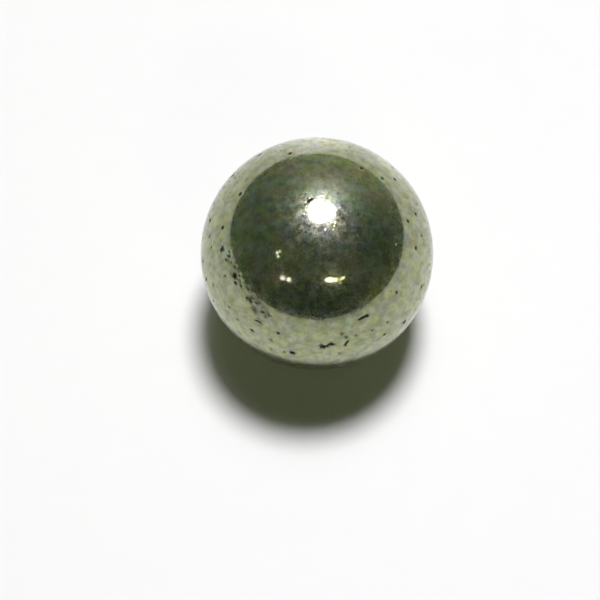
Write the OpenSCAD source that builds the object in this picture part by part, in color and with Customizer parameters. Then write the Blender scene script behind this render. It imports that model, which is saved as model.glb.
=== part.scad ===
// Worn solid steel ball, about 10 mm across.
// The ball is true to its round form. Its upper side carries the marks of use: round
// corrosion pits, some of them worn shallow, a crooked groove where pits have merged,
// nicks from knocks, and a scuffed band of small dents.
// Every mark is a cut in the one solid, and lies on the surface at any ball size.
// Units are millimetres. The origin is the ball's centre, and +Z is up.

/* [Ball] */
// Diameter of the ball
ball_d = 10; // [6:0.5:20]

/* [Small pits] */
// Width of a small pit across its mouth
small_pit_w = 0.15; // [0.1:0.01:0.25]
// Depth of a small pit below the plane of its mouth
small_pit_depth = 0.03; // [0.02:0.005:0.06]
// Depth of a small pit that wear has made shallow
shallow_pit_depth = 0.015; // [0.01:0.005:0.03]

/* [Large pits] */
// Width of a large pit across its mouth
large_pit_w = 0.22; // [0.15:0.01:0.35]
// Depth of a large pit below the plane of its mouth
large_pit_depth = 0.05; // [0.03:0.005:0.1]

/* [Crooked groove] */
// Width of the groove across its mouth
groove_w = 0.14; // [0.1:0.01:0.2]
// Depth of the groove below the plane of its mouth
groove_depth = 0.035; // [0.02:0.005:0.06]
// Largest step between the merged pits that make the groove
groove_step = 0.09; // [0.06:0.01:0.12]

/* [Nicks] */
// Length of a long nick between its two ends
long_nick_len = 0.45; // [0.35:0.05:0.8]
// Length of a short nick between its two ends
short_nick_len = 0.35; // [0.2:0.05:0.5]
// Width of a nick at its middle
nick_w = 0.1; // [0.08:0.01:0.2]
// Depth of a nick at its middle, below its two ends
nick_depth = 0.03; // [0.02:0.005:0.06]

/* [Scuffed band] */
// Length of the band along the ball's surface
scuff_len = 3.5; // [1.5:0.1:5]
// Width of the band along the ball's surface
scuff_w = 0.6; // [0.3:0.05:0.9]
// Number of dents along the band
scuff_dents = 26; // [12:1:36]
// Width across its mouth of a dent in the middle of the band
dent_w = 0.24; // [0.16:0.01:0.3]
// Width across its mouth of a dent at the band's edge
edge_dent_w = 0.14; // [0.1:0.01:0.24]
// Depth of a dent below the plane of its mouth
dent_depth = 0.02; // [0.01:0.005:0.04]

/* [Hidden] */
// Facets of a round form in a preview
$fn = 96;
ball_r = ball_d / 2;
steel = [0.62, 0.64, 0.58];

// A latitude is counted up from the equator, and a longitude anticlockwise from +X,
// both in degrees, so longitude -90 is the front of the ball.

// Latitude and longitude of each small pit
SMALL_PITS = [
    // front, below the middle
    [13, -124], [29, -121], [29, -117], [20, -110], [13, -113], [6, -106],
    [22, -77], [19, -75], [7, -79], [18, -70], [17, -61], [8, -55], [16, -52],
    [4, -42], [29, -41], [28, -62], [16, -83],
    // right side
    [13, -25], [32, -13], [28, -3], [41, 0], [33, 8], [50, 32], [40, 31], [57, 47],
    // back edge
    [53, 112], [34, 126], [28, 144],
    // left side
    [48, 162], [24, 172], [38, -177], [25, -178], [35.3, -165], [33.9, -164.2],
    [38, -157], [35, -157], [29, -151], [32, -143], [27, -126]
];

// Latitude and longitude of each small pit that is worn shallow
SHALLOW_PITS = [
    [8, -95], [13, -76], [24, -110], [12, -118], [13, -133], [10, -136], [16, -140],
    [23, -139], [15, -155], [9, -162], [11, -171], [26, -171], [22, -30], [45, -20]
];

// Latitude and longitude of each large pit
LARGE_PITS = [[7, -102], [14.3, -87.2], [34.5, -146]];

// Each nick: latitude and longitude of its middle, and its heading in degrees,
// turned from due east towards north
LONG_NICKS = [[28, -64.6, 5], [22, -122, 10]];
SHORT_NICKS = [[86.3, 157, -26], [15, -75, 55], [31, -130, -40]];

// Latitude and longitude of each corner of the crooked groove, from end to end
GROOVE = [[15.5, -87.8], [13.3, -86.6], [16, -83.5], [14.9, -81.7]];

// Middle and heading of the scuffed band
SCUFF_AT = [33.5, -140, -15];
// Turn from one dent to the next that spreads them evenly: the golden angle
spread_turn = 137.5;

// Radius of the circle through both ends of a chord and the deepest point below it
function arc_radius(chord, sink) = (chord * chord / 4 + sink * sink) / (2 * sink);

// Distance along the surface between two places, in millimetres
function surface_distance(a, b) =
    norm([b[0] - a[0], (b[1] - a[1]) * cos(a[0])]) * PI * ball_r / 180;

// Distance from the ball's centre to the chord's plane
function chord_height(chord) = sqrt(ball_r * ball_r - chord * chord / 4);

// Puts what is drawn above the north pole at a latitude and longitude instead
module at(lat, lon, heading = 0) {
    rotate([0, 90 - lat, lon]) rotate([0, 0, heading]) children();
}

// Cutter of a round pit or dent over the north pole: a small sphere
module pit_cutter(width, sink) {
    r = arc_radius(width, sink);
    translate([0, 0, chord_height(width) - sink + r]) sphere(r = r);
}

// Cutter of a nick over the north pole, along Y: the rim of a thin wheel,
// which runs out to nothing at both ends of the nick
module nick_cutter(length) {
    wheel_r = arc_radius(length, nick_depth);
    rim_r = arc_radius(nick_w, nick_depth);
    translate([0, 0, chord_height(length) - nick_depth + wheel_r])
        rotate([0, 90, 0])
            rotate_extrude() translate([wheel_r - rim_r, 0]) circle(r = rim_r);
}

// Cutters of one straight stretch of the groove: pits from its first corner up to,
// but not including, its second
module groove_stretch(a, b) {
    steps = ceil(surface_distance(a, b) / groove_step);
    for (k = [0 : steps - 1]) {
        p = a + (b - a) * k / steps;
        at(p[0], p[1]) pit_cutter(groove_w, groove_depth);
    }
}

// Cutters of the crooked groove
module groove_cutters() {
    last = GROOVE[len(GROOVE) - 1];
    for (i = [0 : len(GROOVE) - 2]) groove_stretch(GROOVE[i], GROOVE[i + 1]);
    at(last[0], last[1]) pit_cutter(groove_w, groove_depth);
}

// Cutters of the scuffed band: dents laid along it, spread to either side of its middle,
// and smaller towards its edges
module scuff_cutters() {
    degrees_per_mm = 180 / (PI * ball_r);
    for (i = [0 : scuff_dents - 1]) {
        along = scuff_len * ((i + 0.5) / scuff_dents - 0.5) * degrees_per_mm;
        share = sin(i * spread_turn);
        width = dent_w + (edge_dent_w - dent_w) * abs(share);
        at(SCUFF_AT[0], SCUFF_AT[1], SCUFF_AT[2])
            rotate([-along, scuff_w / 2 * share * degrees_per_mm, 0])
                pit_cutter(width, dent_depth * width / dent_w);
    }
}

module ball() {
    color(steel) difference() {
        sphere(d = ball_d);
        for (p = SMALL_PITS) at(p[0], p[1]) pit_cutter(small_pit_w, small_pit_depth);
        for (p = SHALLOW_PITS) at(p[0], p[1]) pit_cutter(small_pit_w, shallow_pit_depth);
        for (p = LARGE_PITS) at(p[0], p[1]) pit_cutter(large_pit_w, large_pit_depth);
        for (n = LONG_NICKS) at(n[0], n[1], n[2]) nick_cutter(long_nick_len);
        for (n = SHORT_NICKS) at(n[0], n[1], n[2]) nick_cutter(short_nick_len);
        groove_cutters();
        scuff_cutters();
    }
}

ball();
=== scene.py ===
"""A worn steel ball on a sheet of white paper.

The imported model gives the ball's size and place. This script works out the ball's surface
again on a finer grid, with the same pits, groove, nicks and dents, gives it the finish of
polished steel dulled by use, and sets it on white paper under one round lamp in a dim room.

Sizes are in millimetres and angles in degrees, up to the point where a mesh, a lamp or the
camera is made, which Blender measures in metres and radians.
"""

import logging
import math
from dataclasses import dataclass, field
from enum import Enum

import bpy
import numpy as np
from mathutils import Matrix, Vector


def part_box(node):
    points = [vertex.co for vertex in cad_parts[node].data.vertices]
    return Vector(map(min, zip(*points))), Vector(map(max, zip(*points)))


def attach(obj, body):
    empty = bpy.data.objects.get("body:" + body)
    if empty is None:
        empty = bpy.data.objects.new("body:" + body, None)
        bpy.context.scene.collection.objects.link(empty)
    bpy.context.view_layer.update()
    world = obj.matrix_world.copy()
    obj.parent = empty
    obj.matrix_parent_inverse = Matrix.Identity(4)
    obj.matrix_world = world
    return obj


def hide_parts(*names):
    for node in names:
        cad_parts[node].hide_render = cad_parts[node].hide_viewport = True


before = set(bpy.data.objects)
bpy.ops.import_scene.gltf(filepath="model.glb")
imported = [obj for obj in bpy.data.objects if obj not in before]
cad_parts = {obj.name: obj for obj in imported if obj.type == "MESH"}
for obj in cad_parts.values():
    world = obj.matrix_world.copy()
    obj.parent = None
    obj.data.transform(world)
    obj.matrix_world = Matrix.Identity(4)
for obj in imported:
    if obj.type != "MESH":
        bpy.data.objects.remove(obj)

log = logging.getLogger("steel_ball")

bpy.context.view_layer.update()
MM = 0.001
UM = 0.000001
GOLDEN_ANGLE = 137.5
# Nearly all of Blender's noise lies between these two values.
NOISE_SPAN = (0.3, 0.7)

Pair = tuple[float, float]
Triple = tuple[float, float, float]
Colour = Triple
Socket = bpy.types.NodeSocket


# ---------------------------------------------------------------------------
# Marks of use
# ---------------------------------------------------------------------------


class Corrosion(Enum):
    """How dark the inside of a mark has become, as a share of full oxide."""

    BLACK = 1.0
    BROWN = 0.8
    WORN = 0.56
    FAINT = 0.2


@dataclass(frozen=True)
class Place:
    """A place on the ball, with a heading turned from due east towards north."""

    lat: float
    lon: float
    heading: float = 0.0

    def axes(self) -> np.ndarray:
        """Works out the directions across, along and outwards at the place.

        Returns:
            A 3 x 3 array of unit vectors, one a row. The first two turn with the heading.
        """
        lat, lon, turn = np.radians([self.lat, self.lon, self.heading])
        out = np.array([math.cos(lat) * math.cos(lon), math.cos(lat) * math.sin(lon), math.sin(lat)])
        east = np.array([-math.sin(lon), math.cos(lon), 0.0])
        south = np.cross(east, out)
        across = math.cos(turn) * south + math.sin(turn) * east
        along = math.cos(turn) * east - math.sin(turn) * south
        return np.array([across, along, out])


@dataclass(frozen=True)
class Hollow:
    """A mark cut into the ball: where it lies, its width and depth, and how dark it is.

    The ball's grid is drawn together at a mark that gathers.
    """

    axes: np.ndarray
    width: float
    sink: float
    ball_radius: float
    corrosion: Corrosion = Corrosion.BLACK
    gathers: bool = True

    @property
    def reach(self) -> float:
        """Half the longest side of the mark, as an angle seen from the ball's centre."""
        return self.width / 2 / self.ball_radius

    def chord_height(self, chord: float) -> float:
        """Distance from the ball's centre to the plane of a chord."""
        return math.sqrt(self.ball_radius**2 - chord**2 / 4)

    def arc_radius(self, chord: float) -> float:
        """Radius of the circle through both ends of a chord and the mark's deepest point."""
        return (chord**2 / 4 + self.sink**2) / (2 * self.sink)

    def floor(self, local: np.ndarray) -> np.ndarray:
        """Distance from the ball's centre to the mark's floor.

        Args:
            local: Unit directions from the ball's centre, given in the mark's own axes.

        Returns:
            One distance for each direction, infinite where the mark isn't met.
        """
        raise NotImplementedError

    def stain(self, local: np.ndarray, spread: float) -> np.ndarray:
        """How much of the stain round the mark shows.

        At x across the mark and y along it, it is the bell curve exp(-(x/a)^2 - (y/b)^2),
        where a and b are half the mark's width and length, times the spread.

        Args:
            local: Unit directions from the ball's centre, given in the mark's own axes.
            spread: How far the stain reaches, as a multiple of the mark's own size.

        Returns:
            A share from 0 to 1 for each direction.
        """
        x, y = (local[:, :2] * self.ball_radius).T / spread
        return np.exp(-((2 * x / self.width) ** 2) - (y / self.reach / self.ball_radius) ** 2)


@dataclass(frozen=True)
class Pit(Hollow):
    """A round hollow: the part of the ball that a small sphere takes away."""

    def floor(self, local: np.ndarray) -> np.ndarray:
        """Distance to the near wall of the small sphere.

        A ray at an angle t from the sphere's centre, which is at height h, meets a sphere of
        radius r at h cos t less the root of r squared less the square of h sin t.

        Args:
            local: Unit directions in the pit's own axes.

        Returns:
            One distance for each direction, infinite where the ray misses the sphere.
        """
        r = self.arc_radius(self.width)
        h = self.chord_height(self.width) - self.sink + r
        cosine = local[:, 2]
        under_root = r**2 - h**2 * (1 - cosine**2)
        wall = h * cosine - np.sqrt(np.maximum(under_root, 0))
        return np.where(under_root > 0, wall, np.inf)


@dataclass(frozen=True)
class Nick(Hollow):
    """A long hollow that runs out at both ends: the bite of a thin wheel's round rim."""

    length: float = 0.5

    @property
    def reach(self) -> float:
        """Half the nick's length, as an angle seen from the ball's centre."""
        return self.length / 2 / self.ball_radius

    def floor(self, local: np.ndarray) -> np.ndarray:
        """Distance to the wheel's rim.

        At x across the nick the rim lies at rho = w - q + root(q squared - x squared) from
        the wheel's axle, for wheel radius w and rim radius q. At y along the nick its height
        is that of the axle less root(rho squared - y squared).

        Args:
            local: Unit directions in the nick's own axes.

        Returns:
            One distance for each direction, infinite beside the rim.
        """
        wheel = self.arc_radius(self.length)
        rim = self.arc_radius(self.width)
        axle = self.chord_height(self.length) - self.sink + wheel
        x, y = (local[:, :2] * self.ball_radius).T
        rho = wheel - rim + np.sqrt(np.maximum(rim**2 - x**2, 0))
        height = axle - np.sqrt(np.maximum(rho**2 - y**2, 0))
        met = (np.abs(x) < rim) & (np.abs(y) < rho)
        return np.where(met, height / np.maximum(local[:, 2], 0.5), np.inf)


@dataclass(frozen=True)
class PitKind:
    """Round pits of one size and darkness, and the latitude and longitude of each."""

    width: float
    sink: float
    corrosion: Corrosion
    places: tuple[Pair, ...]


@dataclass(frozen=True)
class SoftPatch:
    """A patch of finish with soft edges: its middle, its radius, and its share of the finish."""

    place: Place
    radius: float
    share: float


@dataclass
class Marks:
    """Every mark of use that has a place of its own on the ball."""

    ball_radius: float
    groove_w: float = 0.14
    groove_depth: float = 0.035
    groove_step: float = 0.09
    groove_gather_every: int = 3
    long_nick_len: float = 0.45
    short_nick_len: float = 0.35
    nick_w: float = 0.1
    nick_depth: float = 0.03
    scuff_len: float = 3.5
    scuff_w: float = 0.6
    scuff_dents: int = 26
    dent_w: float = 0.24
    edge_dent_w: float = 0.14
    dent_depth: float = 0.02
    scuff_at: Place = Place(33.5, -140, -15)
    pit_kinds: tuple[PitKind, ...] = (
        # small and black
        PitKind(0.15, 0.03, Corrosion.BLACK, (
            (4, -42), (28, -62), (16, -83), (34, 126), (28, 144), (24, 172),
            (35.3, -165), (33.9, -164.2),
        )),
        # small and brown
        PitKind(0.15, 0.03, Corrosion.BROWN, (
            (13, -124), (20, -110), (19, -75), (8, -55), (13, -25),
            (32, -13), (33, 8), (40, 31), (57, 47), (53, 112), (38, -177), (32, -143),
        )),
        # small and rubbed at the rim
        PitKind(0.15, 0.03, Corrosion.WORN, (
            (29, -121), (29, -117), (27, -126), (18, -70), (16, -52), (48, 162), (6, -106),
            (25, -178), (38, -157), (35, -157), (29, -151), (13, -113), (7, -79), (17, -61),
            (28, -3), (41, 0), (50, 32), (22, -77), (29, -41),
        )),
        # worn shallow
        PitKind(0.15, 0.015, Corrosion.BLACK, ((9, -162), (11, -171))),
        PitKind(0.15, 0.015, Corrosion.BROWN, ((13, -76),)),
        PitKind(0.15, 0.015, Corrosion.WORN, ((13, -133), (15, -155), (26, -171), (16, -140))),
        PitKind(0.15, 0.015, Corrosion.FAINT, (
            (8, -95), (24, -110), (12, -118), (10, -136), (23, -139), (22, -30), (45, -20),
        )),
        # large
        PitKind(0.22, 0.05, Corrosion.BLACK, ((7, -102), (34.5, -146))),
        PitKind(0.22, 0.05, Corrosion.BROWN, ((14.3, -87.2),)),
    )
    long_nicks: tuple[tuple[Place, Corrosion], ...] = (
        (Place(28, -64.6, 5), Corrosion.BROWN), (Place(22, -122, 10), Corrosion.FAINT),
    )
    short_nicks: tuple[tuple[Place, Corrosion], ...] = (
        (Place(86.3, 157, -26), Corrosion.BLACK), (Place(15, -75, 55), Corrosion.BROWN),
        (Place(31, -130, -40), Corrosion.FAINT),
    )
    smudges: tuple[SoftPatch, ...] = (
        # along the scuffed band
        SoftPatch(Place(36.5, -155), 0.25, 0.35), SoftPatch(Place(33.5, -142), 0.25, 0.35),
        SoftPatch(Place(31, -131), 0.3, 0.55), SoftPatch(Place(27.5, -125.5), 0.3, 0.60),
        SoftPatch(Place(29, -119), 0.25, 0.5), SoftPatch(Place(22.5, -121), 0.25, 0.45),
        # along the band's inner side
        SoftPatch(Place(40.5, -149), 0.25, 0.35), SoftPatch(Place(37, -138.3), 0.25, 0.4),
        SoftPatch(Place(35.7, -133.4), 0.25, 0.4), SoftPatch(Place(34.2, -128.7), 0.25, 0.5),
        SoftPatch(Place(32.8, -125.4), 0.25, 0.55), SoftPatch(Place(31.2, -121.7), 0.25, 0.45),
        # round the lamp's reflection
        SoftPatch(Place(85.3, 152.5), 0.07, 0.9), SoftPatch(Place(86.2, 137.5), 0.06, 0.9),
        SoftPatch(Place(85.0, 168.0), 0.06, 0.9), SoftPatch(Place(84.4, -171.5), 0.08, 0.4),
        SoftPatch(Place(77.9, -25.8), 0.12, 1.0), SoftPatch(Place(75.7, -30.4), 0.13, 1.0),
        SoftPatch(Place(76.8, -7.2), 0.10, 0.85), SoftPatch(Place(78.4, -4.6), 0.07, 0.6),
        SoftPatch(Place(77.0, -40), 0.09, 1.0), SoftPatch(Place(81.3, -128.3), 0.08, 0.8),
        SoftPatch(Place(78.7, -105.7), 0.09, 0.6), SoftPatch(Place(70.1, -48.1), 0.10, 0.6),
        SoftPatch(Place(73.8, -0.4), 0.08, 0.5),
        # faint and wide, on the upper side
        SoftPatch(Place(75.3, -94.5), 0.22, 0.15), SoftPatch(Place(79.8, -135.9), 0.2, 0.2),
        SoftPatch(Place(52.5, -91.9), 0.4, 0.14),
        # front, beside the pits
        SoftPatch(Place(6.5, -106), 0.25, 0.35), SoftPatch(Place(15.5, -90.5), 0.2, 0.3),
        SoftPatch(Place(20.5, -76), 0.25, 0.3), SoftPatch(Place(26, -66), 0.2, 0.3),
        # low on the sides
        SoftPatch(Place(11, -171), 0.25, 0.7), SoftPatch(Place(24, 172), 0.2, 0.6),
        SoftPatch(Place(4, -42), 0.2, 0.6), SoftPatch(Place(34, 126), 0.2, 0.5),
    )
    rubbed_at: Place = Place(74, -65)
    rubbed_radius: float = 1.2
    # patches where the steel's colour is lightened to paint a brighter reflection of the paper, on the
    # ball's back and top and faintly at the front
    painted_reflection_patches: tuple[SoftPatch, ...] = (
        SoftPatch(Place(37, 90), 1.5, 1.0), SoftPatch(Place(27, 47), 1.3, 0.8),
        SoftPatch(Place(20, -20), 3.2, 0.11), SoftPatch(Place(10, -85), 2.6, 0.06),
    )
    groove: tuple[Pair, ...] = (
        (15.5, -87.8), (13.3, -86.6), (16, -83.5), (14.9, -81.7),
    )

    def pit(self, axes: np.ndarray, width: float, sink: float, corrosion: Corrosion,
            gathers: bool = True) -> Pit:
        """One round pit or dent."""
        return Pit(axes, width, sink, self.ball_radius, corrosion, gathers)

    def pits(self) -> list[Hollow]:
        """Makes the round corrosion pits, kind by kind."""
        return [
            self.pit(Place(*at).axes(), kind.width, kind.sink, kind.corrosion)
            for kind in self.pit_kinds for at in kind.places
        ]

    def nicks(self) -> list[Hollow]:
        """Makes the nicks that knocks have left.

        Returns:
            The long nicks, then the short ones.
        """
        sizes = [(at, self.long_nick_len, corrosion) for at, corrosion in self.long_nicks]
        sizes += [(at, self.short_nick_len, corrosion) for at, corrosion in self.short_nicks]
        return [
            Nick(at.axes(), self.nick_w, self.nick_depth, self.ball_radius, corrosion, True, length)
            for at, length, corrosion in sizes
        ]

    def groove_pits(self) -> list[Hollow]:
        """Makes the crooked groove from pits that have merged, from corner to corner.

        Returns:
            The pits, none further than groove_step from the next. They overlap, so only one
            in groove_gather_every gathers.
        """
        corners = np.array(self.groove, float)
        places = []
        for a, b in zip(corners[:-1], corners[1:]):
            span = np.array([b[0] - a[0], (b[1] - a[1]) * math.cos(math.radians(a[0]))])
            distance = np.linalg.norm(np.radians(span)) * self.ball_radius
            steps = math.ceil(distance / self.groove_step)
            places += [a + (b - a) * k / steps for k in range(steps)]
        places.append(corners[-1])
        return [
            self.pit(Place(*at).axes(), self.groove_w, self.groove_depth, Corrosion.BROWN,
                     i % self.groove_gather_every == 1)
            for i, at in enumerate(places)
        ]

    def dents(self) -> list[Hollow]:
        """Lays the scuffed band's dents along it, spread to either side of its middle.

        Returns:
            The dents, which get smaller towards the band's edges.
        """
        band = self.scuff_at.axes()
        dents = []
        for i in range(self.scuff_dents):
            share = math.sin(math.radians(i * GOLDEN_ANGLE))
            along = self.scuff_len * ((i + 0.5) / self.scuff_dents - 0.5) / self.ball_radius
            aside = self.scuff_w / 2 * share / self.ball_radius
            out = np.array([math.cos(along) * math.sin(aside), math.sin(along),
                            math.cos(along) * math.cos(aside)])
            across = np.array([math.cos(aside), 0.0, -math.sin(aside)])
            width = self.dent_w + (self.edge_dent_w - self.dent_w) * abs(share)
            axes = np.array([across, np.cross(out, across), out]) @ band
            dents.append(self.pit(axes, width, self.dent_depth * width / self.dent_w, Corrosion.FAINT))
        return dents

    def all(self) -> list[Hollow]:
        """Every mark, in one list."""
        return self.pits() + self.nicks() + self.groove_pits() + self.dents()

    def scuffing(self, directions: np.ndarray) -> np.ndarray:
        """How scuffed the surface is round the band.

        It is full along the band's middle, and falls off as a bell curve of its distance
        aside in band widths and, past the band's ends, of its distance beyond them.

        Args:
            directions: Unit directions from the ball's centre.

        Returns:
            A share from 0 to 1 for each direction.
        """
        local = directions @ self.scuff_at.axes().T * self.ball_radius
        aside = local[:, 0] / self.scuff_w
        beyond = np.maximum(np.abs(local[:, 1]) - self.scuff_len / 2, 0) / self.scuff_w
        return np.where(local[:, 2] > 0, np.exp(-2 * (aside**2 + beyond**2)), 0)

    def bell(self, directions: np.ndarray, place: Place, radius: float) -> np.ndarray:
        """A soft round patch: the bell curve exp(-(d/radius)^2) of the distance d to a place."""
        out = place.axes()[2]
        apart = np.linalg.norm(directions - out, axis=1) * self.ball_radius
        return np.exp(-((apart / radius) ** 2))

    def rubbing(self, directions: np.ndarray) -> np.ndarray:
        """How rubbed the surface is round its most handled place, from 0 to 1."""
        return self.bell(directions, self.rubbed_at, self.rubbed_radius)

    def most(self, directions: np.ndarray, patches: tuple[SoftPatch, ...]) -> np.ndarray:
        """The largest share that any of some soft patches gives to each direction."""
        shares = [p.share * self.bell(directions, p.place, p.radius) for p in patches]
        return np.max(shares, axis=0)


# ---------------------------------------------------------------------------
# Materials
# ---------------------------------------------------------------------------


class Board:
    """Adds the nodes of one material or world, and joins them."""

    def __init__(self, tree: bpy.types.NodeTree) -> None:
        """Clears the tree, to build it up from nothing."""
        self.tree = tree
        tree.nodes.clear()

    def add(self, kind: str, inputs: dict[str | int, object] | None = None,
            **settings: object) -> bpy.types.Node:
        """Adds a node.

        Args:
            kind: The node's type, without the word ShaderNode.
            inputs: A socket to link or a plain value, for each input's name or number.
            settings: The node's own settings.

        Returns:
            The new node.
        """
        node = self.tree.nodes.new("ShaderNode" + kind)
        for name, value in settings.items():
            setattr(node, name, value)
        for name, value in (inputs or {}).items():
            if isinstance(value, bpy.types.NodeSocket):
                self.tree.links.new(value, node.inputs[name])
            else:
                node.inputs[name].default_value = value
        return node

    def millimetres(self, stretch: Triple = (1, 1, 1), turn: Triple = (0, 0, 0),
                    shift: Triple = (0, 0, 0)) -> Socket:
        """Gives the place on the object, in millimetres.

        Args:
            stretch: How much denser a pattern lies along each axis.
            turn: Turn of the pattern about each axis.
            shift: Shift of the pattern along each axis.

        Returns:
            The vector socket.
        """
        place = self.add("TexCoord").outputs["Object"]
        mapping = self.add("Mapping", {
            "Vector": place,
            "Rotation": tuple(math.radians(a) for a in turn),
            "Scale": tuple(s / MM for s in stretch),
            "Location": shift,
        })
        return mapping.outputs["Vector"]

    def noise(self, at: Socket, per_mm: float, detail: float = 2, rough: float = 0.5) -> Socket:
        """Cloudy noise with a stated number of lumps in a millimetre."""
        return self.add("TexNoise", {
            "Vector": at, "Scale": per_mm, "Detail": detail, "Roughness": rough,
        }).outputs["Fac"]

    def dots(self, at: Socket, per_mm: float, pick: str, fewest: float, size: float) -> Socket:
        """Scatters round dots of many sizes, one at most in each cell of the surface.

        Args:
            at: The place on the object.
            per_mm: The number of cells in a millimetre.
            pick: The channel of the cells' random colour that sets each dot's size.
            fewest: The share of the cells that have no dot.
            size: The largest dot's radius, as a share of a cell.

        Returns:
            How far inside a dot the place is, in cells, below 0 outside all dots.
        """
        cells = self.add("TexVoronoi", {"Vector": at, "Scale": per_mm, "Randomness": 1.0})
        chosen = self.add("SeparateColor", {"Color": cells.outputs["Color"]}).outputs[pick]
        radius = self.between(chosen, fewest, 1.0, 0.0, size)
        return self.maths("SUBTRACT", radius, cells.outputs["Distance"])

    def between(self, value: Socket, low: float, high: float,
                to_low: float | Socket = 0.0, to_high: float | Socket = 1.0) -> Socket:
        """Turns the stretch from low to high into a smooth step between two values."""
        return self.add("MapRange", {
            "Value": value, "From Min": low, "From Max": high, "To Min": to_low, "To Max": to_high,
        }, interpolation_type="SMOOTHSTEP").outputs["Result"]

    def maths(self, operation: str, *values: float | Socket) -> Socket:
        """One step of arithmetic."""
        return self.add("Math", dict(enumerate(values)), operation=operation).outputs[0]

    def blend(self, share: float | Socket, first: Colour | Socket, second: Colour | Socket,
              how: str = "MIX") -> Socket:
        """Mixes two colours.

        Args:
            share: How much of the second shows.
            first: The colour where share is 0.
            second: The colour where share is 1.
            how: The kind of mix.

        Returns:
            The mixed colour's socket.
        """
        node = self.add("Mix", data_type="RGBA", blend_type=how)
        sockets = {s.identifier: s for s in node.inputs}
        for name, value in (("Factor_Float", share), ("A_Color", first), ("B_Color", second)):
            if isinstance(value, bpy.types.NodeSocket):
                self.tree.links.new(value, sockets[name])
            elif isinstance(value, tuple):
                sockets[name].default_value = (*value, 1.0)
            else:
                sockets[name].default_value = value
        return next(s for s in node.outputs if s.identifier == "Result_Color")


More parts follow.
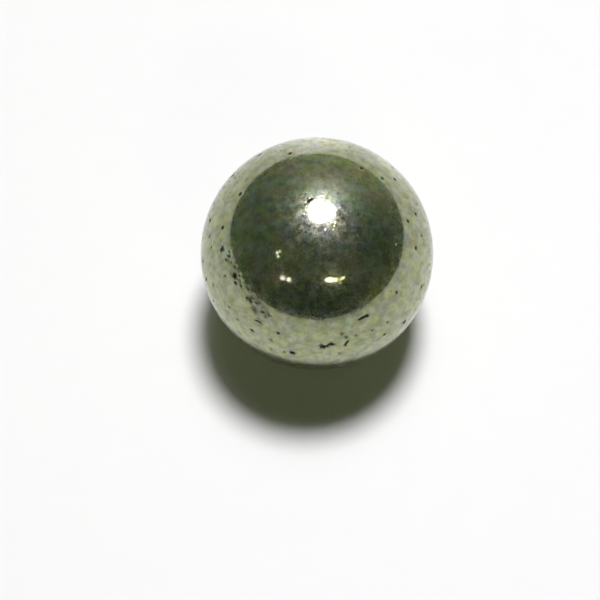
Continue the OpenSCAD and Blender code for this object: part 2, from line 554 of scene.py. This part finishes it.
@dataclass(frozen=True)
class WornSteel:
    """Polished bare steel dulled by use: cloudy tarnish, dark pits and tiny hazy flecks.

    Patterns are given by their number of lumps in a millimetre, and depths in micrometres.
    A swing is the least and the most that a pattern makes of a value, and a span is the
    stretch of a pattern's own values over which its effect sets in.
    """

    steel: Colour = (0.318, 0.341, 0.213)
    # painted reflection: the lighter steel colour that paints a brighter reflection in some patches
    painted_reflection_colour: Colour = (0.66, 0.68, 0.52)
    oxide: Colour = (0.030, 0.030, 0.018)
    tone_swing: Pair = (0.76, 1.22)
    red_swing: Pair = (0.945, 1.055)
    blue_swing: Pair = (0.81, 1.19)
    oxide_span: Pair = (0.43, 1.15)
    gloss: float = 0.065
    haze: float = 0.34
    oxide_roughness: float = 0.55
    oxide_rough_span: Pair = (0.4, 1.0)
    haze_share: float = 0.32
    patch_swing: Pair = (-0.09, 0.09)
    scuff_haze: float = 0.10
    fleck_edge: float = 0.04
    cloud_per_mm: float = 1.9
    mottle_per_mm: float = 2.6
    patch_per_mm: float = 3.0
    blot_per_mm: float = 9.0
    blot_share: float = 0.6
    fleck_per_mm: float = 80.0
    grain_per_mm: float = 6.5
    grain_span: Pair = (0.34, 0.42)
    speck_per_mm: float = 3.6
    speck_free: float = 0.45
    speck_size: float = 0.30
    speck_edge: float = 0.20
    speck_dark: float = 0.40
    speck_dark_handled: float = 0.45
    speck_dip: float = 10.0
    handling_per_mm: float = 0.45
    handling_span: Pair = (0.50, 0.68)
    dimple_per_mm: float = 7.0
    dimple_um: float = 6.0
    dint_per_mm: float = 6.5
    dint_free: float = 0.2
    dint_size: float = 0.55
    dint_edge: float = 0.25
    dint_um: float = 3.4
    scratch_um: float = 0.15
    scratch_span: Pair = (0.62, 0.72)
    scratch_runs: tuple[tuple[Triple, Triple], ...] = (
        ((24, 1.6, 1.6), (20, 35, 50)), ((1.5, 21, 1.5), (-40, 10, 70)),
    )
    tarnish_shift: Triple = (18.0, 18.0, 1.0)
    haze_shift: Triple = (13.0, 14.0, -3.0)

    def material(self) -> bpy.types.Material:
        """Builds the material.

        Returns:
            A metal whose colour, gloss and relief follow the ball's surface.
        """
        material = bpy.data.materials.new("worn_steel")
        material.use_nodes = True
        board = Board(material.node_tree)
        here = board.millimetres(shift=self.tarnish_shift)
        hazy = board.millimetres(shift=self.haze_shift)
        oxide = board.add("Attribute", attribute_name="oxide").outputs["Fac"]
        scuff = board.add("Attribute", attribute_name="scuff").outputs["Fac"]
        handled = board.add("Attribute", attribute_name="rubbed").outputs["Fac"]

        specks = self.specks(board, here, handled)
        blots = board.noise(here, self.blot_per_mm, 2)
        patchy = board.maths("MULTIPLY_ADD", blots, self.blot_share, oxide)
        dark = board.maths("MAXIMUM", board.between(patchy, *self.oxide_span), specks)
        shader = board.add("BsdfPrincipled", {
            "Base Color": self.colour(board, here, dark),
            "Metallic": 1.0,
            "Roughness": self.roughness(board, hazy, dark, scuff),
            "Specular Tint": self.edge(board, here),
            "Normal": self.relief(board, hazy, specks, scuff, handled),
        })
        board.add("OutputMaterial", {"Surface": shader.outputs["BSDF"]})
        return material

    def specks(self, board: Board, here: Socket, handled: Socket) -> Socket:
        """Makes the finest corrosion: faint dots in some of the surface's cells.

        Args:
            board: The material's board.
            here: The place on the ball.
            handled: How rubbed it is round its most handled place, where dots are darker.

        Returns:
            A share from 0 to 1, full in the middle of a dot.
        """
        near = board.dots(here, self.speck_per_mm, "Red", self.speck_free, self.speck_size)
        most = board.maths("MULTIPLY_ADD", handled, self.speck_dark_handled, self.speck_dark)
        return board.between(near, 0.0, self.speck_edge, 0.0, most)

    def colour(self, board: Board, here: Socket, dark: Socket) -> Socket:
        """Mixes cloudy tarnish, a soft mottle and dark oxide over the steel.

        Args:
            board: The material's board.
            here: The place on the ball.
            dark: How much oxide there is.

        Returns:
            The colour's socket.
        """
        clouds = board.add("TexNoise", {
            "Vector": here, "Scale": self.cloud_per_mm, "Detail": 2.0, "Roughness": 0.55})
        hue = board.add("SeparateColor", {"Color": clouds.outputs["Color"]}).outputs
        mottle = board.noise(here, self.mottle_per_mm, 4, 0.62)
        # how much brighter reflection is painted on here
        painted_reflection = board.add("Attribute", attribute_name="painted_reflection").outputs["Fac"]
        tone = board.between(mottle, *NOISE_SPAN, *self.tone_swing)
        red = board.maths("MULTIPLY", tone, board.between(hue["Red"], *NOISE_SPAN, *self.red_swing))
        blue = board.maths("MULTIPLY", tone, board.between(hue["Blue"], *NOISE_SPAN, *self.blue_swing))
        tint = board.add("CombineColor", {"Red": red, "Green": tone, "Blue": blue}).outputs[0]
        # paints a brighter reflection: in some patches the steel turns to a lighter colour
        tarnished = board.blend(1.0, board.blend(painted_reflection, self.steel, self.painted_reflection_colour), tint, "MULTIPLY")
        return board.blend(dark, tarnished, self.oxide)

    def edge(self, board: Board, here: Socket) -> Socket:
        """Dims the steel in fine grains where it is seen nearly edge-on.

        Args:
            board: The material's board.
            here: The place on the ball.

        Returns:
            The share of the edge-on reflection that is left, as a grey.
        """
        grains = board.noise(here, self.grain_per_mm, 3, 0.7)
        left = board.between(grains, *self.grain_span)
        return board.add("CombineColor", {"Red": left, "Green": left, "Blue": left}).outputs[0]

    def roughness(self, board: Board, here: Socket, dark: Socket, scuff: Socket) -> Socket:
        """Spreads tiny hazy flecks over the polish, thicker in patches and where it is scuffed.

        A fleck shows where the finest noise, raised by the patches and the scuffing, is above
        0.5 + 0.3 (0.5 - s), where s is the wanted share of hazy surface.

        Args:
            board: The material's board.
            here: The place on the ball.
            dark: How much oxide there is.
            scuff: How scuffed the surface is.

        Returns:
            The roughness socket.
        """
        fleck = board.noise(here, self.fleck_per_mm, 1, 0.5)
        patches = board.noise(here, self.patch_per_mm, 5, 0.72)
        patch = board.between(patches, *NOISE_SPAN, *self.patch_swing)
        more = board.maths("MULTIPLY_ADD", scuff, self.scuff_haze, patch)
        raised = board.maths("ADD", fleck, more)
        threshold = 0.5 + 0.3 * (0.5 - self.haze_share)
        low, high = threshold - self.fleck_edge, threshold + self.fleck_edge
        haze = board.between(raised, low, high, self.gloss, self.haze)
        return board.between(dark, *self.oxide_rough_span, haze, self.oxide_roughness)

    def dints(self, board: Board, here: Socket) -> Socket:
        """Makes tiny round dints in some of the surface's cells.

        Args:
            board: The material's board.
            here: The place on the ball.

        Returns:
            A depth from 0 to 1, full on the floor of a dint.
        """
        near = board.dots(here, self.dint_per_mm, "Green", self.dint_free, self.dint_size)
        return board.between(near, 0.0, self.dint_edge)

    def relief(self, board: Board, here: Socket, specks: Socket, scuff: Socket,
               handled: Socket) -> Socket:
        """Adds relief too fine for the mesh: scratches, dips, dimples and dints.

        The height is counted in depths of a scratch. Dimples lie where the surface is scuffed
        or handled here and there, and dints where it is scuffed or handled most.

        Args:
            board: The material's board.
            here: The place on the ball.
            specks: The fine dots of corrosion.
            scuff: How scuffed the surface is.
            handled: How rubbed it is round its most handled place.

        Returns:
            The normal's socket.
        """
        first, second = (
            board.between(board.noise(board.millimetres(stretch, turn), 1.0, 1), *self.scratch_span)
            for stretch, turn in self.scratch_runs)
        scratches = board.maths("ADD", first, second)
        dips = board.maths("MULTIPLY_ADD", specks, self.speck_dip, scratches)
        handling = board.between(board.noise(here, self.handling_per_mm, 2), *self.handling_span)
        rubbed = board.maths("MAXIMUM", scuff, handling)
        dimples = board.maths("MULTIPLY", board.noise(here, self.dimple_per_mm, 1, 0.5), rubbed)
        raised = board.maths("MULTIPLY", dimples, self.dimple_um / self.scratch_um)
        rough = board.maths("SUBTRACT", raised, dips)
        knocked = board.maths("MAXIMUM", handled, scuff)
        dints = board.maths("MULTIPLY", self.dints(board, here), knocked)
        sunk = board.maths("MULTIPLY", dints, self.dint_um / self.scratch_um)
        height = board.maths("SUBTRACT", rough, sunk)
        return board.add("Bump", {
            "Height": height, "Distance": self.scratch_um * UM, "Strength": 1.0,
        }).outputs["Normal"]


@dataclass(frozen=True)
class WhitePaper:
    """Smooth white paper, very slightly uneven in tone."""

    light: Colour = (0.793, 0.862, 0.608)
    shade: Colour = (0.787, 0.856, 0.604)
    cloud_per_mm: float = 0.6
    roughness: float = 0.6
    sheen: float = 0.5

    def material(self) -> bpy.types.Material:
        """Builds the material.

        Returns:
            A matt white with a faint cloudiness.
        """
        material = bpy.data.materials.new("white_paper")
        material.use_nodes = True
        board = Board(material.node_tree)
        clouds = board.noise(board.millimetres(), self.cloud_per_mm, 3)
        colour = board.blend(board.between(clouds, *NOISE_SPAN), self.shade, self.light)
        shader = board.add("BsdfPrincipled", {
            "Base Color": colour, "Roughness": self.roughness, "Specular IOR Level": self.sheen,
        })
        board.add("OutputMaterial", {"Surface": shader.outputs["BSDF"]})
        return material


# ---------------------------------------------------------------------------
# Meshes
# ---------------------------------------------------------------------------


def mesh_object(name: str, points: np.ndarray, faces: np.ndarray,
                values: dict[str, np.ndarray] | None = None) -> bpy.types.Object:
    """Puts a surface of four-sided faces into a new object.

    Args:
        name: The object's name.
        points: One point a row, in metres.
        faces: Four point numbers a row, anticlockwise seen from outside.
        values: A number for each point, under each attribute's name.

    Returns:
        The object, at the origin and linked to the scene.
    """
    mesh = bpy.data.meshes.new(name)
    mesh.vertices.add(len(points))
    mesh.vertices.foreach_set("co", points.astype(np.float32).ravel())
    mesh.loops.add(faces.size)
    mesh.loops.foreach_set("vertex_index", faces.astype(np.int32).ravel())
    mesh.polygons.add(len(faces))
    mesh.polygons.foreach_set("loop_start", np.arange(0, faces.size, 4, dtype=np.int32))
    mesh.update(calc_edges=True)
    mesh.shade_smooth()
    for key, numbers in (values or {}).items():
        attribute = mesh.attributes.new(key, "FLOAT", "POINT")
        attribute.data.foreach_set("value", numbers.astype(np.float32))
    made = bpy.data.objects.new(name, mesh)
    bpy.context.scene.collection.objects.link(made)
    return made


def cube_grid(cells: int) -> tuple[np.ndarray, np.ndarray]:
    """Covers a cube with square cells that share their edges and corners.

    On each side two whole-number parameters run from 0 to cells, and the third coordinate is
    0 or cells. Points with the same three coordinates are one point.

    Args:
        cells: Number of cells along each edge of the cube.

    Returns:
        The points, from -1 to 1 along each axis, and the faces, which point outwards.
    """
    u, v = np.meshgrid(np.arange(cells + 1), np.arange(cells + 1), indexing="ij")
    numbers = np.arange((cells + 1) ** 2).reshape(cells + 1, cells + 1)
    quads = np.stack([numbers[:-1, :-1], numbers[1:, :-1], numbers[1:, 1:], numbers[:-1, 1:]], -1)
    quads = quads.reshape(-1, 4)
    points, faces = [], []
    for axis in range(3):
        for far in (0, 1):
            side = np.empty((u.size, 3), int)
            side[:, axis] = far * cells
            side[:, (axis + 1) % 3] = u.ravel()
            side[:, (axis + 2) % 3] = v.ravel()
            faces.append((quads if far else quads[:, ::-1]) + len(points) * u.size)
            points.append(side)
    lattice = np.concatenate(points)
    keys = (lattice[:, 0] * (cells + 1) + lattice[:, 1]) * (cells + 1) + lattice[:, 2]
    _, first, shared = np.unique(keys, return_index=True, return_inverse=True)
    return lattice[first] * 2.0 / cells - 1, shared.reshape(-1)[np.concatenate(faces)]


@dataclass
class WornBall:
    """The ball: a true sphere with its marks of use, in one closed surface."""

    radius: float
    marks: Marks
    finish: WornSteel = field(default_factory=WornSteel)
    cells: int = 126
    gather_rounds: int = 3
    gather_pull: float = 0.34
    gather_reach: float = 2.3
    gather_floor: float = 0.15
    gather_limit: float = 3.5
    oxide_edge: float = 0.25
    stain_share: float = 0.7
    stain_spread: float = 1.9
    stain_limit: float = 2.5

    def gather(self, directions: np.ndarray, hollows: list[Hollow]) -> np.ndarray:
        """Draws the grid's points together at the marks, so that the marks are finely meshed.

        A point at an angle t from a mark moves towards it by pull x t x exp(-(t/w) squared),
        where w is the width of the gathered area. Such a move never folds the surface. Past
        gather_limit x w it is too small to matter, and is left out.

        Args:
            directions: Unit directions of the grid's points.
            hollows: The marks.

        Returns:
            The moved unit directions.
        """
        moved = directions.copy()
        for _ in range(self.gather_rounds):
            for hollow in hollows:
                if not hollow.gathers:
                    continue
                centre = hollow.axes[2]
                width = self.gather_reach * max(hollow.reach, self.gather_floor / 2 / self.radius)
                near = np.flatnonzero(moved @ centre > math.cos(self.gather_limit * width))
                part = moved[near]
                cosine = np.clip(part @ centre, -1, 1)[:, None]
                angle = np.arccos(cosine)
                step = self.gather_pull * angle * np.exp(-((angle / width) ** 2))
                towards = centre - part * cosine
                towards /= np.maximum(np.linalg.norm(towards, axis=1, keepdims=True), 1e-12)
                moved[near] = part * np.cos(step) + towards * np.sin(step)
        return moved / np.linalg.norm(moved, axis=1, keepdims=True)

    def surface(self) -> tuple[np.ndarray, np.ndarray, dict[str, np.ndarray]]:
        """Works out the ball's surface.

        A cube's grid is spread evenly over the sphere by the tangent of each coordinate's
        share of 45 degrees. Each point's distance from the centre is the least of the ball's
        radius and the floors of the marks. A mark and its stain end within stain_limit times
        the mark's reach.

        Returns:
            The points in millimetres, the faces, and the values for the finish: oxide in the
            marks and smudges, scuffing round the scuffed band, rubbing round the rubbed
            place, and the share of painted brighter reflection in some patches.
        """
        cube, faces = cube_grid(self.cells)
        spread = np.tan(cube * math.pi / 4)
        directions = spread / np.linalg.norm(spread, axis=1, keepdims=True)
        hollows = self.marks.all()
        directions = self.gather(directions, hollows)
        distance = np.full(len(directions), self.radius)
        oxide = self.marks.most(directions, self.marks.smudges)
        for hollow in hollows:
            limit = self.stain_limit * hollow.reach
            near = np.flatnonzero(directions @ hollow.axes[2] > math.cos(limit))
            local = directions[near] @ hollow.axes.T
            floor = hollow.floor(local)
            depth = np.maximum(self.radius - floor, 0)
            distance[near] = np.minimum(distance[near], floor)
            inside = np.clip(depth / (self.oxide_edge * hollow.sink), 0, 1)
            share = np.maximum(inside, self.stain_share * hollow.stain(local, self.stain_spread))
            oxide[near] = np.maximum(oxide[near], share * hollow.corrosion.value)
        values = {
            "oxide": oxide,
            "scuff": self.marks.scuffing(directions),
            "rubbed": self.marks.rubbing(directions),
            # the share of the painted brighter reflection
            "painted_reflection": self.marks.most(directions, self.marks.painted_reflection_patches),
        }
        return directions * distance[:, None], faces, values

    def build(self) -> bpy.types.Object:
        """Makes the ball and dresses it.

        Returns:
            The finished piece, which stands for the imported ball.
        """
        points, faces, values = self.surface()
        ball = mesh_object("worn_ball", points * MM, faces, values)
        ball.data.materials.append(self.finish.material())
        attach(ball, "root")
        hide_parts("ball")
        log.info("worn_ball: %d points, %d faces", len(points), len(faces))
        return ball


@dataclass
class PaperSheet:
    """The sheet of paper that the ball rests on."""

    level: float
    half_size: float = 300.0
    cells: int = 8
    finish: WhitePaper = field(default_factory=WhitePaper)

    def build(self) -> bpy.types.Object:
        """Makes the sheet: a flat square grid at the ball's lowest point.

        Returns:
            The sheet.
        """
        run = np.linspace(-self.half_size, self.half_size, self.cells + 1)
        x, y = np.meshgrid(run, run, indexing="ij")
        points = np.stack([x, y, np.full_like(x, self.level)], -1).reshape(-1, 3)
        numbers = np.arange(x.size).reshape(x.shape)
        faces = np.stack([numbers[:-1, :-1], numbers[1:, :-1], numbers[1:, 1:], numbers[:-1, 1:]], -1)
        sheet = mesh_object("paper", points * MM, faces.reshape(-1, 4))
        sheet.data.materials.append(self.finish.material())
        log.info("paper: %d faces", len(sheet.data.polygons))
        return sheet


# ---------------------------------------------------------------------------
# Light and camera
# ---------------------------------------------------------------------------


def direction(azimuth: float, elevation: float) -> Vector:
    """Unit vector from the ball at an azimuth, from +Y towards +X, and an elevation."""
    az, el = math.radians(azimuth), math.radians(elevation)
    return Vector((math.cos(el) * math.sin(az), math.cos(el) * math.cos(az), math.sin(el)))


@dataclass(frozen=True)
class Lamp:
    """A glowing disc or oval that faces the ball.

    Its direction is an azimuth from +Y towards +X and an elevation. Its width and height are
    the angles that it fills, seen from the ball, and its roll turns it anticlockwise.
    """

    name: str
    azimuth: float
    elevation: float
    width: float
    height: float
    radiance: float
    colour: Colour = (1.0, 1.0, 1.0)
    roll: float = 0.0
    distance: float = 500.0

    def build(self) -> bpy.types.Object:
        """Makes the lamp.

        Returns:
            The lamp, which the camera doesn't see directly.
        """
        reach = self.distance * MM
        light = bpy.data.lights.new(self.name, "AREA")
        light.shape = "ELLIPSE"
        light.size = 2 * reach * math.tan(math.radians(self.width / 2))
        light.size_y = 2 * reach * math.tan(math.radians(self.height / 2))
        light.color = self.colour
        face = math.pi * light.size * light.size_y / 4
        light.energy = self.radiance * math.pi * face
        made = bpy.data.objects.new(self.name, light)
        out = direction(self.azimuth, self.elevation)
        turned = out.to_track_quat("Z", "Y").to_matrix()
        made.matrix_world = Matrix.Translation(out * reach) @ (
            turned @ Matrix.Rotation(math.radians(self.roll), 3, "Z")).to_4x4()
        made.visible_camera = False
        bpy.context.scene.collection.objects.link(made)
        log.info("%s: radiance %.1f", self.name, self.radiance)
        return made


@dataclass(frozen=True)
class Glow:
    """A soft round light part of the room, which falls off from its middle.

    Its strength is half of one plus the cosine of the angle to its middle, to the power of
    its narrowness. Its middle is an azimuth from +Y towards +X and an elevation.
    """

    azimuth: float
    elevation: float
    narrowness: float
    colour: Colour

    def add_to(self, board: Board, ray: Socket, rest: Colour | Socket) -> Socket:
        """Adds the glow to the rest of the room.

        Args:
            board: The world's board.
            ray: The direction that is looked in.
            rest: The colour of the rest of the room.

        Returns:
            The colour of both together.
        """
        middle = tuple(direction(self.azimuth, self.elevation))
        cosine = board.add("VectorMath", {0: ray, 1: middle}, operation="DOT_PRODUCT").outputs["Value"]
        half = board.maths("MULTIPLY_ADD", cosine, 0.5, 0.5)
        return board.blend(board.maths("POWER", half, self.narrowness), rest, self.colour, "ADD")


@dataclass
class Room:
    """The dim room round the paper, and its lamps."""

    wall: Colour = (0.029, 0.049, 0.037)
    glows: tuple[Glow, ...] = (
        # the room's lighter side, its light wall and the lamp's shade
        Glow(-25.0, 15.0, 1.3, (0.12, 0.145, 0.115)),
        Glow(18.0, 11.0, 10.0, (0.275, 0.25, 0.17)),
        Glow(5.0, 54.0, 46.0, (0.71, 0.74, 0.92)),
        Glow(34.0, 41.0, 85.0, (0.25, 0.20, 0.22)),
        # faint warm parts of the room
        Glow(100.0, -2.0, 14.0, (0.02, 0.023, 0.004)),
        Glow(-175.0, 60.0, 16.0, (0.058, 0.038, 0.012)),
        Glow(128.0, 34.0, 60.0, (0.065, 0.05, 0.04)),
        Glow(127.0, 5.0, 60.0, (0.065, 0.065, 0.03)),
        Glow(120.0, 60.0, 160.0, (0.07, 0.08, 0.05)),
        Glow(53.0, 11.0, 60.0, (0.045, 0.015, 0.0)),
        Glow(-126.0, 18.0, 60.0, (0.04, 0.004, 0.0)),
        Glow(-59.0, 57.0, 120.0, (0.045, 0.022, 0.0)),
    )
    cloud_scale: float = 3.0
    unevenness: float = 0.18
    spill: float = 0.095
    lamps: tuple[Lamp, ...] = (
        Lamp("round_lamp", 16.0, 73.4, 14.6, 13.4, 61.9, (1.09, 1.0, 1.40), distance=700.0),
        Lamp("lamp_rim", 10.0, 71.9, 25.4, 25.4, 3.2, (1.09, 1.0, 1.40), distance=700.0),
        Lamp("side_lamp_left", -116.2, 45.6, 2.3, 2.4, 4.8, (1.05, 0.98, 1.05)),
        Lamp("side_lamp_high", -117.0, 48.6, 2.4, 1.8, 3.4, (1.05, 0.98, 1.05)),
        Lamp("side_lamp_low", -120.8, 44.4, 2.0, 2.0, 4.8, (1.05, 0.98, 1.05)),
        Lamp("front_lamp_left", -140.9, 31.9, 4.8, 4.2, 3.9, (1.06, 0.97, 1.07)),
        Lamp("front_lamp_right", -147.8, 33.6, 4.8, 3.9, 4.2, (1.06, 0.97, 1.07)),
        Lamp("window_main", 162.8, 38.3, 12.0, 4.3, 7.2, (1.0, 0.99, 0.90), roll=-18.0),
        Lamp("window_side", 157.2, 37.2, 4.4, 3.0, 4.8, (1.0, 0.99, 0.80)),
        Lamp("window_upper", 149.2, 36.0, 4.4, 2.4, 5.2, (1.0, 0.98, 0.86)),
        Lamp("window_corner", 152.8, 35.4, 3.0, 2.0, 3.8, (1.0, 0.98, 0.80)),
        Lamp("window_lower", 153.6, 32.6, 3.0, 2.4, 1.4, (1.0, 0.98, 0.45)),
    )

    def light_world(self) -> None:
        """Sets the room's own glow: dim and uneven all round, with softly lit parts.

        Glossy metal shows the room as the camera does. Only a share of the glow, the spill,
        reaches the paper, which the lamps light.
        """
        world = bpy.data.worlds.new("dim_room")
        world.use_nodes = True
        bpy.context.scene.world = world
        board = Board(world.node_tree)
        ray = board.add("TexCoord").outputs["Generated"]
        light = self.wall
        for glow in self.glows:
            light = glow.add_to(board, ray, light)
        clouds = board.add("TexNoise", {"Vector": ray, "Scale": self.cloud_scale, "Detail": 1.5})
        hue = board.add("SeparateColor", {"Color": clouds.outputs["Color"]}).outputs
        low, high = 1 - self.unevenness, 1 + self.unevenness
        tint = board.add("CombineColor", {
            "Red": board.between(hue["Red"], *NOISE_SPAN, low, high),
            "Green": board.between(hue["Green"], *NOISE_SPAN, (1 + low) / 2, (1 + high) / 2),
            "Blue": board.between(hue["Blue"], *NOISE_SPAN, low, high),
        }).outputs[0]
        rays = board.add("LightPath").outputs
        seen = board.maths("MAXIMUM", rays["Is Camera Ray"], rays["Is Glossy Ray"])
        seen = board.maths("MAXIMUM", seen, rays["Is Transmission Ray"])
        background = board.add("Background", {
            "Color": board.blend(1.0, light, tint, "MULTIPLY"),
            "Strength": board.between(seen, 0.0, 1.0, self.spill, 1.0),
        })
        board.add("OutputWorld", {"Surface": background.outputs["Background"]})

    def build(self) -> None:
        """Lights the room and hangs its lamps."""
        self.light_world()
        for lamp in self.lamps:
            lamp.build()


@dataclass
class Camera:
    """A long lens that looks steeply down at the ball from the front."""

    frame_px: float = 600.0
    ball_x_px: float = 316.9
    ball_y_px: float = 253.85
    elevation: float = 65.3
    distance: float = 100.0
    lens: float = 139.4
    sensor: float = 36.0

    def build(self) -> bpy.types.Object:
        """Makes the camera, turned so that the ball's centre shows at its stated pixel.

        Returns:
            The camera, set as the scene's own.
        """
        el = math.radians(self.elevation)
        back = Vector((0, -math.cos(el), math.sin(el)))
        upright = back.to_track_quat("Z", "Y").to_matrix()
        focal_px = self.lens / self.sensor * self.frame_px
        right_px = self.ball_x_px - self.frame_px / 2
        up_px = self.frame_px / 2 - self.ball_y_px
        wanted = Vector((right_px, up_px, -focal_px)).normalized()
        turn = wanted.rotation_difference(Vector((0, 0, -1))).to_matrix()
        data = bpy.data.cameras.new("camera")
        data.lens = self.lens
        data.sensor_width = self.sensor
        data.clip_start = MM
        camera = bpy.data.objects.new("camera", data)
        camera.matrix_world = Matrix.Translation(back * self.distance * MM) @ (upright @ turn).to_4x4()
        bpy.context.scene.collection.objects.link(camera)
        bpy.context.scene.camera = camera
        log.info("camera: %.1f degrees above the paper", self.elevation)
        return camera


def main() -> None:
    """Builds the ball, the paper, the light and the camera."""
    logging.basicConfig(level=logging.INFO, format="%(name)s: %(message)s")
    bpy.context.scene.view_settings.view_transform = "Standard"
    low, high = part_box("ball")
    radius = round((high.z - low.z) / 2 / MM, 3)
    WornBall(radius, Marks(radius)).build()
    PaperSheet(level=-radius).build()
    Room().build()
    Camera().build()


if __name__ == "__main__":
    main()
